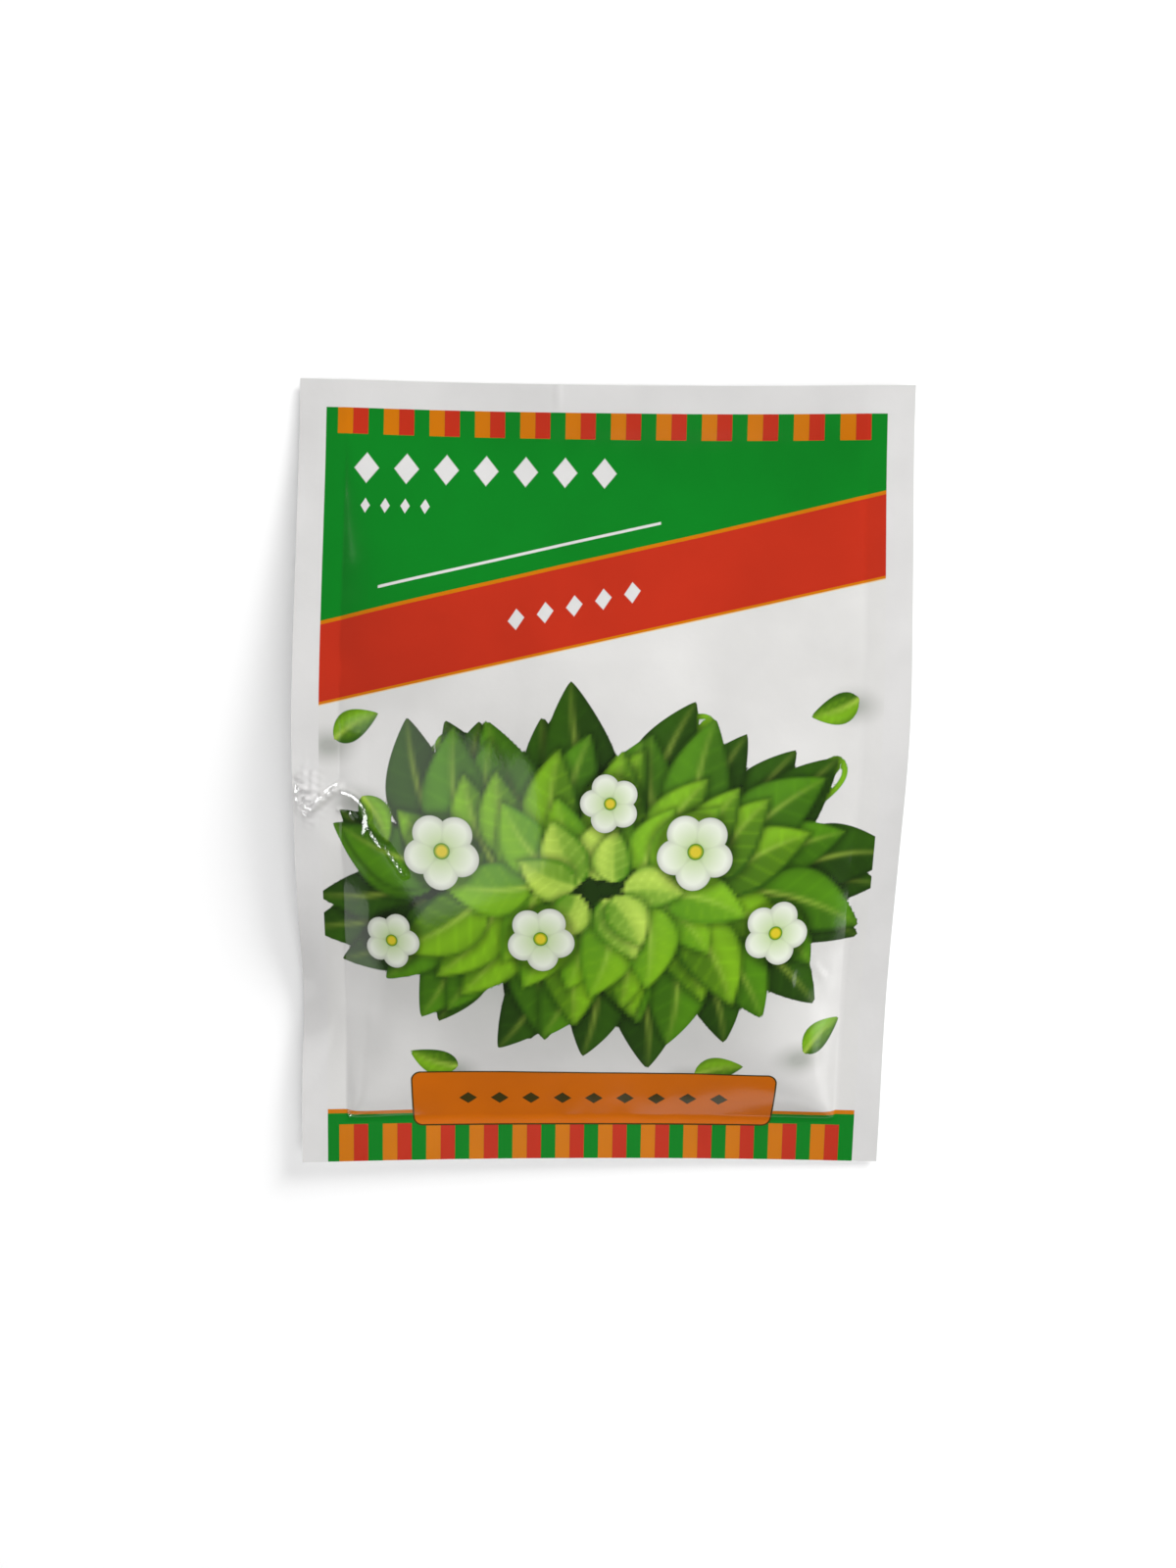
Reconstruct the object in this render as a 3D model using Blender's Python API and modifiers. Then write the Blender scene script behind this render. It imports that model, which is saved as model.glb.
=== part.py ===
"""A seed packet lying on its back: two sheets of film bonded along all four edges, with dry peas between them.

Lengths are in metres. +X runs across the packet, +Y toward its head and +Z up, with the floor at z = 0.
Each sheet is drawn flat first, in flat coordinates: s across it and t along it, both from its middle.
"""

import math
import random

import bmesh
import bpy
from mathutils import Euler, Matrix, Vector

# the packet as it is cut and bonded
PACKET_WIDTH = 0.130
PACKET_LENGTH = 0.1715
PACKET_THICKNESS = 0.021
SEAL_WIDTH = 0.010
FILM_THICKNESS = 0.0003
TOUCH_GAP = 0.0003

# how the filled packet stands up from the floor
CREST_T = 0.002
FLANK_POWER = 2.3
FOOT_POWER = 2.9
HEAD_POWER = 1.3
FOOT_RIDGE_SHARPNESS = 3.0
HEAD_RIDGE_SHARPNESS = 0.25
HEAD_SEAL_HEIGHT = 0.0022
FOOT_SEAL_HEIGHT = 0.0030
CORNER_TWIST = 0.0022
SIDE_SEAL_LIFT = 0.0108
SIDE_SEAL_LIFT_T = 0.012
SIDE_SEAL_LIFT_REACH = 0.050
RESTING_WIDTH_SHARE = 0.30
RESTING_LENGTH_SHARE = 0.80
UNDERSIDE_POWER = 1.8

# how the filling draws the edges in
SIDE_PULL_SHARE = 0.004
FOOT_PULL = 0.0008
HEAD_PULL = 0.0004

# the mesh of each sheet
SEAL_CELLS = 2
CHAMBER_CELLS_ACROSS = 22
CHAMBER_CELLS_ALONG = 30

# the dry peas: rows that touch along their length, and a few peas on top that lie across two rows
PEA_RADIUS = 0.0038
PEA_SPACING = 0.0068
PEA_ROW_SPACING = 0.0070
PEA_JITTER = 0.0001
PEA_TILT = 0.15
PEA_SIDES = 8
PEA_RINGS = 5
PATCH_T = -0.016
PATCH_HALF_WIDTH = 0.037
PATCH_HALF_LENGTH = 0.037
UPPER_PEAS_A_ROW = 2
UPPER_REACH = 2
SLOPE_STEP = 0.0005
RANDOM_SEED = 7

HALF_WIDTH = PACKET_WIDTH / 2
HALF_LENGTH = PACKET_LENGTH / 2
CHAMBER_HALF_WIDTH = HALF_WIDTH - SEAL_WIDTH
CHAMBER_HALF_LENGTH = HALF_LENGTH - SEAL_WIDTH
BONDED_THICKNESS = 2 * FILM_THICKNESS + TOUCH_GAP

FILM_PRINTED = (0.73, 0.72, 0.69)
FILM_PLAIN = (0.78, 0.78, 0.77)
DRY_PEA = (0.46, 0.47, 0.22)


def clear_scene():
    for item in list(bpy.data.objects):
        bpy.data.objects.remove(item)


def make_collection(name):
    collection = bpy.data.collections.new(name)
    bpy.context.scene.collection.children.link(collection)
    return collection


def make_material(name, colour, roughness):
    material = bpy.data.materials.new(name)
    material.use_nodes = True
    shader = material.node_tree.nodes["Principled BSDF"]
    shader.inputs["Base Color"].default_value = (*colour, 1.0)
    shader.inputs["Roughness"].default_value = roughness
    shader.inputs["Metallic"].default_value = 0.0
    return material


def swell_along(t):
    """The chamber's fullness along the packet: blunt at the foot, a long taper to the head, 1 at the crest."""
    if t > CREST_T:
        share = min(1.0, (t - CREST_T) / (CHAMBER_HALF_LENGTH - CREST_T))
        return (1.0 - share ** 2) ** HEAD_POWER
    share = min(1.0, (CREST_T - t) / (CHAMBER_HALF_LENGTH + CREST_T))
    return 1.0 - share ** FOOT_POWER


def swell(s, t):
    """How far the sheets stand apart at a flat point: 0 on the bond and 1 at the crest.

    At the foot the lower of the two fullnesses, across and along, rules, which leaves a ridge in from
    each corner. Toward the head the two come closer to being multiplied, which leaves none.
    """
    across = 1.0 - min(1.0, abs(s) / CHAMBER_HALF_WIDTH) ** FLANK_POWER
    along = swell_along(t)
    if min(across, along) <= 0.0:
        return 0.0
    toward_head = (t + CHAMBER_HALF_LENGTH) / (2 * CHAMBER_HALF_LENGTH)
    ridge = FOOT_RIDGE_SHARPNESS + (HEAD_RIDGE_SHARPNESS - FOOT_RIDGE_SHARPNESS) * toward_head
    return (across ** -ridge + along ** -ridge - 1.0) ** (-1.0 / ridge)


def ramp(share, start):
    """0 up to start, then a smooth climb to 1 where share is 1."""
    return max(0.0, min(1.0, (share - start) / (1.0 - start))) ** UNDERSIDE_POWER


def end_seal_height(s, t):
    """The underside's height on a sheet from the foot's seal to the head's.

    It is twisted a little, so that the foot's left corner and the head's right one ride up.
    """
    share = (t + HALF_LENGTH) / PACKET_LENGTH
    level = FOOT_SEAL_HEIGHT + (HEAD_SEAL_HEIGHT - FOOT_SEAL_HEIGHT) * share
    return level + CORNER_TWIST * (s / HALF_WIDTH) * (t / HALF_LENGTH)


def side_seal_height(s, t):
    """The side seals ride up beside the filling and come down again toward both ends."""
    reach = (t - SIDE_SEAL_LIFT_T) / SIDE_SEAL_LIFT_REACH
    return end_seal_height(s, t) + SIDE_SEAL_LIFT * math.exp(-reach ** 2)


def underside_height(s, t):
    """The back sheet's lower face: flat on the floor in the middle, rising to the seals."""
    from_side = ramp(abs(s) / CHAMBER_HALF_WIDTH, RESTING_WIDTH_SHARE)
    from_end = ramp(abs(t) / CHAMBER_HALF_LENGTH, RESTING_LENGTH_SHARE)
    return from_side * side_seal_height(s, t) + (1.0 - from_side) * from_end * end_seal_height(s, t)


def face_height(s, t):
    """The front sheet's upper face."""
    spread = PACKET_THICKNESS - BONDED_THICKNESS
    return underside_height(s, t) + BONDED_THICKNESS + spread * swell(s, t)


def place_on_plan(s, t):
    """Where a flat point comes to lie, seen from above, once the filling has drawn the edges in."""
    middle = 1.0 - (s / HALF_WIDTH) ** 2
    end_pull = FOOT_PULL if t < 0 else -HEAD_PULL
    x = s * (1.0 - SIDE_PULL_SHARE * swell_along(t))
    y = t + end_pull * middle * (t / HALF_LENGTH) ** 2
    return x, y


def grid_to_flat(index, chamber_cells, chamber_half, edge_half):
    """The flat place of a grid line, so that one line of the mesh runs along each seal's inner edge."""
    from_middle = index - (SEAL_CELLS + chamber_cells / 2)
    inside = chamber_cells / 2
    if abs(from_middle) <= inside:
        return from_middle / inside * chamber_half
    beyond = (abs(from_middle) - inside) / SEAL_CELLS
    return math.copysign(chamber_half + beyond * (edge_half - chamber_half), from_middle)


def make_sheet(name, height, faces_up, material, collection):
    """One sheet of film: a flat grid lifted to its outer face, then given its thickness inward."""
    cells_across = CHAMBER_CELLS_ACROSS + 2 * SEAL_CELLS
    cells_along = CHAMBER_CELLS_ALONG + 2 * SEAL_CELLS
    mesh = bpy.data.meshes.new(name)
    sheet = bmesh.new()
    bmesh.ops.create_grid(sheet, x_segments=cells_across, y_segments=cells_along, size=1.0)
    for vertex in sheet.verts:
        column = round((vertex.co.x + 1.0) / 2 * cells_across)
        row = round((vertex.co.y + 1.0) / 2 * cells_along)
        s = grid_to_flat(column, CHAMBER_CELLS_ACROSS, CHAMBER_HALF_WIDTH, HALF_WIDTH)
        t = grid_to_flat(row, CHAMBER_CELLS_ALONG, CHAMBER_HALF_LENGTH, HALF_LENGTH)
        vertex.co = (*place_on_plan(s, t), height(s, t))
    if not faces_up:
        bmesh.ops.reverse_faces(sheet, faces=sheet.faces)
    sheet.to_mesh(mesh)
    sheet.free()
    mesh.materials.append(material)
    mesh.shade_smooth()
    panel = bpy.data.objects.new(name, mesh)
    collection.objects.link(panel)
    film = panel.modifiers.new("Film", "SOLIDIFY")
    film.thickness = FILM_THICKNESS
    film.offset = -1.0
    return panel


def underside_normal(s, t):
    """Which way is straight up off the back sheet, from its slopes measured over a short step."""
    run = 2 * SLOPE_STEP
    slope_s = (underside_height(s + SLOPE_STEP, t) - underside_height(s - SLOPE_STEP, t)) / run
    slope_t = (underside_height(s, t + SLOPE_STEP) - underside_height(s, t - SLOPE_STEP)) / run
    return Vector((-slope_s, -slope_t, 1.0)).normalized()


def place_pea(s, t, rise):
    """The centre of a pea that lies on the back sheet, or that far above one that does."""
    floor = Vector((*place_on_plan(s, t), underside_height(s, t)))
    lift = FILM_THICKNESS + TOUCH_GAP + PEA_RADIUS
    return floor + underside_normal(s, t) * (lift + rise)


def pea_places():
    """Centres of the peas: an oval layer in staggered rows, then the hollows that hold the upper ones."""
    draw = random.Random(RANDOM_SEED)
    rows = math.floor(PATCH_HALF_LENGTH / PEA_ROW_SPACING)
    hollow = (PEA_ROW_SPACING ** 2 - (PEA_SPACING / 2) ** 2) / (2 * PEA_ROW_SPACING)
    upper_rise = math.sqrt(PEA_SPACING ** 2 - (PEA_ROW_SPACING - hollow) ** 2)
    for row in range(-rows, rows + 1):
        t = row * PEA_ROW_SPACING
        stagger = 0.5 * (row % 2)
        reach = PATCH_HALF_WIDTH * math.sqrt(1 - (t / PATCH_HALF_LENGTH) ** 2) / PEA_SPACING
        for column in range(math.ceil(-reach - stagger), math.floor(reach - stagger) + 1):
            shift_s, shift_t = (draw.uniform(-PEA_JITTER, PEA_JITTER) for _ in range(2))
            yield place_pea((column + stagger) * PEA_SPACING + shift_s, PATCH_T + t + shift_t, 0.0)
        if row < rows:
            for column in draw.sample(range(-UPPER_REACH, UPPER_REACH), UPPER_PEAS_A_ROW):
                s = (column + stagger + 0.5) * PEA_SPACING
                yield place_pea(s, PATCH_T + t + hollow, upper_rise)


def make_pea(name, centre, draw, material, collection):
    """One pea: a ball of a few flat sides, tipped a little at random."""
    tip = Euler([draw.uniform(-PEA_TILT, PEA_TILT) for _ in range(3)]).to_matrix().to_4x4()
    place = Matrix.Translation(centre) @ tip
    mesh = bpy.data.meshes.new(name)
    ball = bmesh.new()
    bmesh.ops.create_uvsphere(
        ball, u_segments=PEA_SIDES, v_segments=PEA_RINGS, radius=PEA_RADIUS, matrix=place
    )
    ball.to_mesh(mesh)
    ball.free()
    mesh.materials.append(material)
    pea = bpy.data.objects.new(name, mesh)
    collection.objects.link(pea)
    return pea


def make_peas(name, material, collection):
    """All the peas fused into one body where they touch."""
    draw = random.Random(RANDOM_SEED)
    loose = make_collection("loose_peas")
    first, *others = [
        make_pea("pea_%03d" % number, centre, draw, material, collection if number == 0 else loose)
        for number, centre in enumerate(pea_places())
    ]
    union = first.modifiers.new("Fuse", "BOOLEAN")
    union.operation = "UNION"
    union.operand_type = "COLLECTION"
    union.collection = loose
    union.solver = "EXACT"
    fused = bpy.data.meshes.new_from_object(first.evaluated_get(bpy.context.evaluated_depsgraph_get()))
    first.modifiers.remove(union)
    first.data = fused
    first.name = fused.name = name
    for other in others:
        bpy.data.objects.remove(other)
    bpy.data.collections.remove(loose)
    return first


def main():
    clear_scene()
    packet = make_collection("seed_packet")
    printed = make_material("printed_film", FILM_PRINTED, 0.22)
    plain = make_material("plain_film", FILM_PLAIN, 0.30)
    dry = make_material("dry_pea", DRY_PEA, 0.60)
    make_sheet("front_panel", face_height, True, printed, packet)
    make_sheet("back_panel", underside_height, False, plain, packet)
    make_peas("pea_seeds", dry, packet)


main()
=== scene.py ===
# %% [markdown]
# # A seed packet lying on its back
# A packet of this kind is two sheets of glossy printed film, bonded together along all four edges, with
# a handful of dry peas shut between them. The solid model gives its size and its swollen shape. This
# script gives it a fine film with creases and dents, its print, and the light to see them by.

import math
import random

import bmesh
import bpy
import numpy as np
from mathutils import Euler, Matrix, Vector


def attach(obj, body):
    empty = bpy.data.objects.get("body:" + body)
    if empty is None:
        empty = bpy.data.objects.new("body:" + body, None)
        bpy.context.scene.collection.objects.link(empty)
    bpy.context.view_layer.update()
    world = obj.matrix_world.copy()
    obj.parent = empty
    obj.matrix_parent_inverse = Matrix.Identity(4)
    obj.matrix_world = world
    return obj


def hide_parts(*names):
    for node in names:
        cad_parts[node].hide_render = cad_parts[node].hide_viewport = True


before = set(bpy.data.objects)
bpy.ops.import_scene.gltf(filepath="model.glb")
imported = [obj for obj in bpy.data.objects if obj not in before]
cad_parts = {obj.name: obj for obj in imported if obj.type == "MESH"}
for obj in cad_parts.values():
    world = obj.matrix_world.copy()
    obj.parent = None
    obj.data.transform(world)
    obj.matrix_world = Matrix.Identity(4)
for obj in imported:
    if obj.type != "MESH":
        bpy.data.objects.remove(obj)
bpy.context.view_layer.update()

# %% [markdown]
# ## The packet's sizes
# The film is drawn flat before it is filled. A flat point has s across the packet and t along it, both
# in millimetres from the middle, and t grows toward the head. Everything printed, bonded or dented has
# its place in these flat coordinates, so a stripe bends with the film that it is printed on. The
# numbers are those of the solid model, because the finer film has to lie where the solid film lies.
# On the bond the two films lie a hair apart, so that neither cuts through the other.

# %% Name the sizes, in millimetres
MM = 0.001
HALF_WIDTH = 65.0
HALF_LENGTH = 85.75
SEAL = 10.0
CHAMBER_HALF_WIDTH = HALF_WIDTH - SEAL
CHAMBER_HALF_LENGTH = HALF_LENGTH - SEAL
THICKNESS = 21.0
FILM = 0.12
BOND_GAP = 0.04
RANDOM_SEED = 11
print("flat film: %.1f by %.1f mm" % (2 * HALF_WIDTH, 2 * HALF_LENGTH))

# %% [markdown]
# ## How the filled packet stands
# The two sheets stand apart by a share that is nothing on the bond and 1 at the crest. Across the
# packet that share falls off evenly to both sides. Along it, the foot is blunt, where the peas have
# settled, and the head tapers away. Near the corners of the foot the lower of the two shares rules,
# which leaves the soft ridge that runs in from each corner of a full pouch. The underside is flat on
# the table in the middle, and rises to the seals, which ride highest beside the filling. Two opposite
# corners stand a little higher than the others, because the whole packet is slightly twisted.

# %% Write the packet's shape as formulas
CREST_T = 2.0
FLANK_POWER, FOOT_POWER, HEAD_POWER = 2.3, 2.9, 1.3
FOOT_RIDGE, HEAD_RIDGE = 3.0, 0.25
SMALL = 1e-4
FOOT_SEAL_LEVEL, SEAL_FALL, TWIST = 3.0, 0.8, 2.2
SIDE_SEAL_LIFT, SIDE_SEAL_T, SIDE_SEAL_REACH = 10.8, 12.0, 50.0
SIDE_RISE_FROM, END_RISE_FROM, RISE_POWER = 0.3, 0.8, 1.8
FOOT_PULL, HEAD_PULL, WIDTH_PULL = 0.8, -0.4, 0.004


def swell_along(t):
    toward_head = np.clip((t - CREST_T) / (CHAMBER_HALF_LENGTH - CREST_T), 0, 1)
    toward_foot = np.clip((CREST_T - t) / (CHAMBER_HALF_LENGTH + CREST_T), 0, 1)
    return np.where(t > CREST_T, (1 - toward_head ** 2) ** HEAD_POWER, 1 - toward_foot ** FOOT_POWER)


def swell(s, t):
    across = np.clip(1 - np.minimum(1, np.abs(s) / CHAMBER_HALF_WIDTH) ** FLANK_POWER, SMALL, 1)
    along = np.clip(swell_along(t), SMALL, 1)
    toward_head = np.clip((t + CHAMBER_HALF_LENGTH) / (2 * CHAMBER_HALF_LENGTH), 0, 1)
    ridge = FOOT_RIDGE + (HEAD_RIDGE - FOOT_RIDGE) * toward_head
    lower = (across ** -ridge + along ** -ridge - 1) ** (-1 / ridge)
    return np.where(np.minimum(across, along) <= SMALL, 0, lower)


def ramp(share, start):
    return np.clip((share - start) / (1 - start), 0, 1) ** RISE_POWER


def end_seal_height(s, t):
    level = FOOT_SEAL_LEVEL - SEAL_FALL * (t + HALF_LENGTH) / (2 * HALF_LENGTH)
    return level + TWIST * (s / HALF_WIDTH) * (t / HALF_LENGTH)


def side_seal_height(s, t):
    lift = SIDE_SEAL_LIFT * np.exp(-(((t - SIDE_SEAL_T) / SIDE_SEAL_REACH) ** 2))
    return end_seal_height(s, t) + lift


def underside_height(s, t):
    from_side = ramp(np.abs(s) / CHAMBER_HALF_WIDTH, SIDE_RISE_FROM)
    from_end = ramp(np.abs(t) / CHAMBER_HALF_LENGTH, END_RISE_FROM)
    return from_side * side_seal_height(s, t) + (1 - from_side) * from_end * end_seal_height(s, t)


def place_on_plan(s, t):
    """Where a flat point lies once the filling has pulled the film in a little."""
    middle = 1 - (s / HALF_WIDTH) ** 2
    end_pull = np.where(t < 0, FOOT_PULL, HEAD_PULL)
    x = s * (1 - WIDTH_PULL * swell_along(t))
    y = t + end_pull * middle * (t / HALF_LENGTH) ** 2
    return x, y


print("crest %.1f mm, side seals up to %.1f mm" % (THICKNESS, side_seal_height(HALF_WIDTH, SIDE_SEAL_T)))

# %% [markdown]
# ## Dents, creases and ripples
# Film is stiff against stretching and soft against bending, so it doesn't dent like clay. It buckles
# into flat facets with sharp rims. Each buckle here is its own small formula of the flat point, in
# millimetres up or down, and they are added together. Only the folds about the largest hollow are not:
# where they meet, the higher one rules, as one sheet can't fold twice in one place. Each fold is given
# by its two ends, its height, its reach to either side and, for one of them, how deep its notches are.
# A few smooth waves of chance length stand for the slight unevenness that makes reflections wander.

# %% Write the ripple and the fold as formulas
NOTCHES_ALONG = 4.1


def ripple(s, t, wavelength, count, draw):
    """Waves of about one length, in chance directions, that add up to about 1 at most."""
    total = np.zeros_like(s)
    for _ in range(count):
        angle, phase = draw.uniform(0, math.tau), draw.uniform(0, math.tau)
        pitch = math.tau / (wavelength * draw.uniform(0.7, 1.4))
        total += np.sin(pitch * (s * math.cos(angle) + t * math.sin(angle)) + phase)
    return total / count ** 0.5 / 1.5


def bell(distance, width):
    return np.exp(-((distance / width) ** 2))


def along_line(s, t, start, end):
    """Distance from a straight line, and the share of the way along it."""
    run = np.subtract(end, start)
    share = ((s - start[0]) * run[0] + (t - start[1]) * run[1]) / (run @ run)
    across = ((s - start[0]) * run[1] - (t - start[1]) * run[0]) / math.hypot(*run)
    return across, share


def tent(distance, reach):
    """A ridge with two flat sides, as stiff film folds."""
    return np.clip(1 - np.abs(distance) / reach, 0, 1)


def crease(s, t, start, end, height, width, notch=0.25):
    """A straight, notched fold that is highest along its middle and dies out at both ends."""
    across, share = along_line(s, t, start, end)
    length = math.hypot(*np.subtract(end, start))
    shown = np.clip(6 * share * (1 - share), 0, 1)
    return height * shown * (1 + notch * np.sin(share * length * NOTCHES_ALONG)) * tent(across, width)


print("half way down the side of a fold, %.1f of its height is left" % tent(0.5, 1.0))

# %% Fold the film about the largest hollow
DENT_CENTRE, DENT_RADIUS, DENT_DEPTH = (-55.1, -7.1), 6.4, 0.35
DENT_FOLDS = (
    ((-62.4, -6.0), (-54.0, 0.6), 1.3, 1.3, 0.1),
    ((-49.7, -7.0), (-45.3, -13.1), 0.62, 0.95),
    ((-45.9, -10.8), (-40.0, -19.2), 0.5, 1.0),
    ((-55.7, -4.9), (-54.0, -5.9), 0.32, 0.6),
    ((-52.8, -5.5), (-51.5, -7.0), 0.3, 0.6),
)
CRUMPLE_CENTRE, CRUMPLE_REACH, CRUMPLE_HEIGHT = (-62.2, -1.7), (2.6, 4.4), 0.75
CRUMPLE_FROM_EDGE = 1.5


def dish(s, t, centre, radius, depth):
    """A shallow hollow that is level at its edge."""
    reach = np.hypot(s - centre[0], t - centre[1])
    return -depth * np.clip(1 - (reach / radius) ** 2, 0, 1) ** 2


def rim(s, t, centre, radius, height, inner, outer, middle, half_turn):
    """A sharp, notched ridge along part of a hollow's edge, with its own reach inward and outward."""
    reach = np.hypot(s - centre[0], t - centre[1])
    turn = np.degrees(np.arctan2(t - centre[1], s - centre[0]))
    aside = np.abs((turn - middle + 180) % 360 - 180)
    shown = np.clip((half_turn - aside) / 30, 0, 1)
    notched = 1 + 0.12 * np.sin(np.radians(turn) * 23) + 0.1 * np.sin(np.radians(turn) * 41)
    return shown * height * notched * tent(reach - radius, np.where(reach < radius, inner, outer))


def large_dent(s, t):
    """The folds about the largest hollow, which lies half on the left bond."""
    folds = rim(s, t, DENT_CENTRE, DENT_RADIUS, height=0.56, inner=1.1, outer=0.8, middle=76, half_turn=115)
    for fold in DENT_FOLDS:
        folds = np.maximum(folds, crease(s, t, *fold))
    crumpled = bell(s - CRUMPLE_CENTRE[0], CRUMPLE_REACH[0]) * bell(t - CRUMPLE_CENTRE[1], CRUMPLE_REACH[1])
    crumpled = crumpled * np.clip((HALF_WIDTH + s) / CRUMPLE_FROM_EDGE, 0, 1)
    crumples = 1 + ripple(s, t, 1.9, 7, random.Random(RANDOM_SEED + 4))
    return folds + CRUMPLE_HEIGHT * crumpled * np.maximum(0, crumples)


print("largest hollow at", DENT_CENTRE, "with a radius of %.1f mm" % DENT_RADIUS)

# %% Add up what bends the film
LEFT_CURL, LEFT_CURL_T, LEFT_CURL_REACH = 2.9, -47, 15
RIGHT_CURL, RIGHT_CURL_T, RIGHT_CURL_REACH = 1.1, -22, 26
INSIDE_REACH = 6
BORDER_WAVE, LONG_RIPPLE, SHORT_RIPPLE = 0.25, 0.28, 0.07
SIDE_PUCKER, END_PUCKER = 0.12, 0.14
PUCKER_FROM_BOND, PUCKER_REACH, PUCKER_HALF_WIDTH = 3, 3.5, 60
SMALL_DENT_CENTRE, SMALL_DENT_RADIUS, SMALL_DENT_DEPTH = (45.2, -39.4), 4.4, 0.25
SMALL_CREASES = (
    ((46.6, -36.9), (50.2, -41.8), 0.35, 0.8),
    ((41.8, -39.0), (42.1, -42.6), 0.35, 0.9),
    ((41.6, 5.0), (45.6, 1.8), 0.3, 0.7),
    ((41.4, 1.0), (44.0, -0.8), 0.26, 0.6),
    ((-38.5, 38.8), (-23.5, 31.4), 0.12, 0.7),
    ((-10.0, 80), (-10.2, 87), 0.22, 0.9),
)


def inside_bond(s, t):
    """Nothing on the bond, rising to 1 a little way inside the chamber."""
    from_side = np.clip((CHAMBER_HALF_WIDTH - np.abs(s)) / INSIDE_REACH, 0, 1)
    return from_side * np.clip((CHAMBER_HALF_LENGTH - np.abs(t)) / INSIDE_REACH, 0, 1)


def bond_buckles(s, t, draw):
    """What bends the bonded border, and both sheets with it."""
    outward = np.clip((np.abs(s) - CHAMBER_HALF_WIDTH) / SEAL, 0, 1)
    left_curl = -LEFT_CURL * outward ** 1.5 * bell(t - LEFT_CURL_T, LEFT_CURL_REACH) * (s < 0)
    right_curl = -RIGHT_CURL * outward * bell(t - RIGHT_CURL_T, RIGHT_CURL_REACH) * (s > 0)
    wave = BORDER_WAVE * outward * ripple(s * 0, t, 34, 3, draw)
    return left_curl + right_curl + wave + dish(s, t, DENT_CENTRE, DENT_RADIUS, DENT_DEPTH)


def film_buckles(s, t, draw):
    """What bends only the front sheet. On the bond it only lifts it, as the back sheet lies under it."""
    waves = LONG_RIPPLE * ripple(s, t, 46, 7, draw) + SHORT_RIPPLE * ripple(s, t, 17, 9, draw)
    height = inside_bond(s, t) * waves + large_dent(s, t)
    height += dish(s, t, SMALL_DENT_CENTRE, SMALL_DENT_RADIUS, SMALL_DENT_DEPTH)
    for small_crease in SMALL_CREASES:
        height += crease(s, t, *small_crease)
    return height


def seal_puckers(s, t, draw):
    """Short folds that run in from the bond, where a bulging sheet has more edge than it needs."""
    from_side = CHAMBER_HALF_WIDTH - np.abs(s)
    from_end = CHAMBER_HALF_LENGTH - np.abs(t)
    sides = bell(from_side - PUCKER_FROM_BOND, PUCKER_REACH) * (from_side > 0)
    ends = bell(from_end - PUCKER_FROM_BOND, PUCKER_REACH) * (from_end > 0)
    sides = sides * ripple(s * 0, t, 9, 5, draw)
    ends = ends * ripple(s, t * 0, 8, 5, draw)
    toward_middle = np.clip(1 - np.abs(s) / PUCKER_HALF_WIDTH, 0, 1)
    return SIDE_PUCKER * sides * swell_along(t) + END_PUCKER * ends * toward_middle


print(len(SMALL_CREASES), "small creases, and the left border curls down by %.1f mm" % LEFT_CURL)

# %% [markdown]
# ## One sheet of film
# Each sheet starts as a flat grid. Its lines are closer together where the picture or the folds are
# fine. A line lies on each seal's inner edge, so that the film bends crisply there, but beside the
# largest hollow the lines are close enough without one. Every vertex is then lifted by the formulas
# above, and Solidify gives the film its thickness toward the inside. The flat coordinates are kept as a
# UV map, which carries the print.

# %% Make a sheet from a grid and a height
def grid_lines(stops, cells):
    """Places of the grid's lines: even steps of about the given cell between each two stops."""
    lines = [stops[0]]
    for low, high, cell in zip(stops, stops[1:], cells):
        count = round((high - low) / cell)
        lines += [low + (high - low) * (k + 1) / count for k in range(count)]
    return np.array(lines)


def make_sheet(name, height, faces_up, columns, rows):
    """A film sheet with that height over the table, and the flat place of each of its vertices."""
    grid = bmesh.new()
    bmesh.ops.create_grid(grid, x_segments=len(columns) - 1, y_segments=len(rows) - 1, size=1.0)
    if not faces_up:
        bmesh.ops.reverse_faces(grid, faces=grid.faces)
    for edge in grid.edges:
        edge.smooth = not edge.is_boundary
    mesh = bpy.data.meshes.new(name)
    grid.to_mesh(mesh)
    grid.free()
    flat = np.empty(3 * len(mesh.vertices))
    mesh.vertices.foreach_get("co", flat)
    flat = flat.reshape(-1, 3)
    s = columns[np.rint((flat[:, 0] + 1) / 2 * (len(columns) - 1)).astype(int)]
    t = rows[np.rint((flat[:, 1] + 1) / 2 * (len(rows) - 1)).astype(int)]
    x, y = place_on_plan(s, t)
    mesh.vertices.foreach_set("co", (np.stack([x, y, height(s, t)], 1) * MM).ravel())
    corner = np.empty(len(mesh.loops), dtype=int)
    mesh.loops.foreach_get("vertex_index", corner)
    print_map = mesh.uv_layers.new(name="OFBake")
    u, v = s / (2 * HALF_WIDTH) + 0.5, t / (2 * HALF_LENGTH) + 0.5
    print_map.uv.foreach_set("vector", np.stack([u[corner], v[corner]], 1).ravel())
    mesh.shade_smooth()
    mesh.update()
    sheet = bpy.data.objects.new(name, mesh)
    bpy.context.scene.collection.objects.link(sheet)
    film = sheet.modifiers.new("Film", "SOLIDIFY")
    film.thickness = FILM * MM
    film.offset = -1.0
    return sheet, s, t


# %% Lift the front sheet
DENT_CELL, PICTURE_CELL, PLAIN_CELL = 0.38, 0.76, 1.1
DENT_TO_S, DENT_FROM_T, DENT_TO_T, PICTURE_TO_T = -39.0, -20.0, 4.0, 45.0


def bonded_height(s, t):
    return underside_height(s, t) + bond_buckles(s, t, random.Random(RANDOM_SEED + 1))


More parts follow.
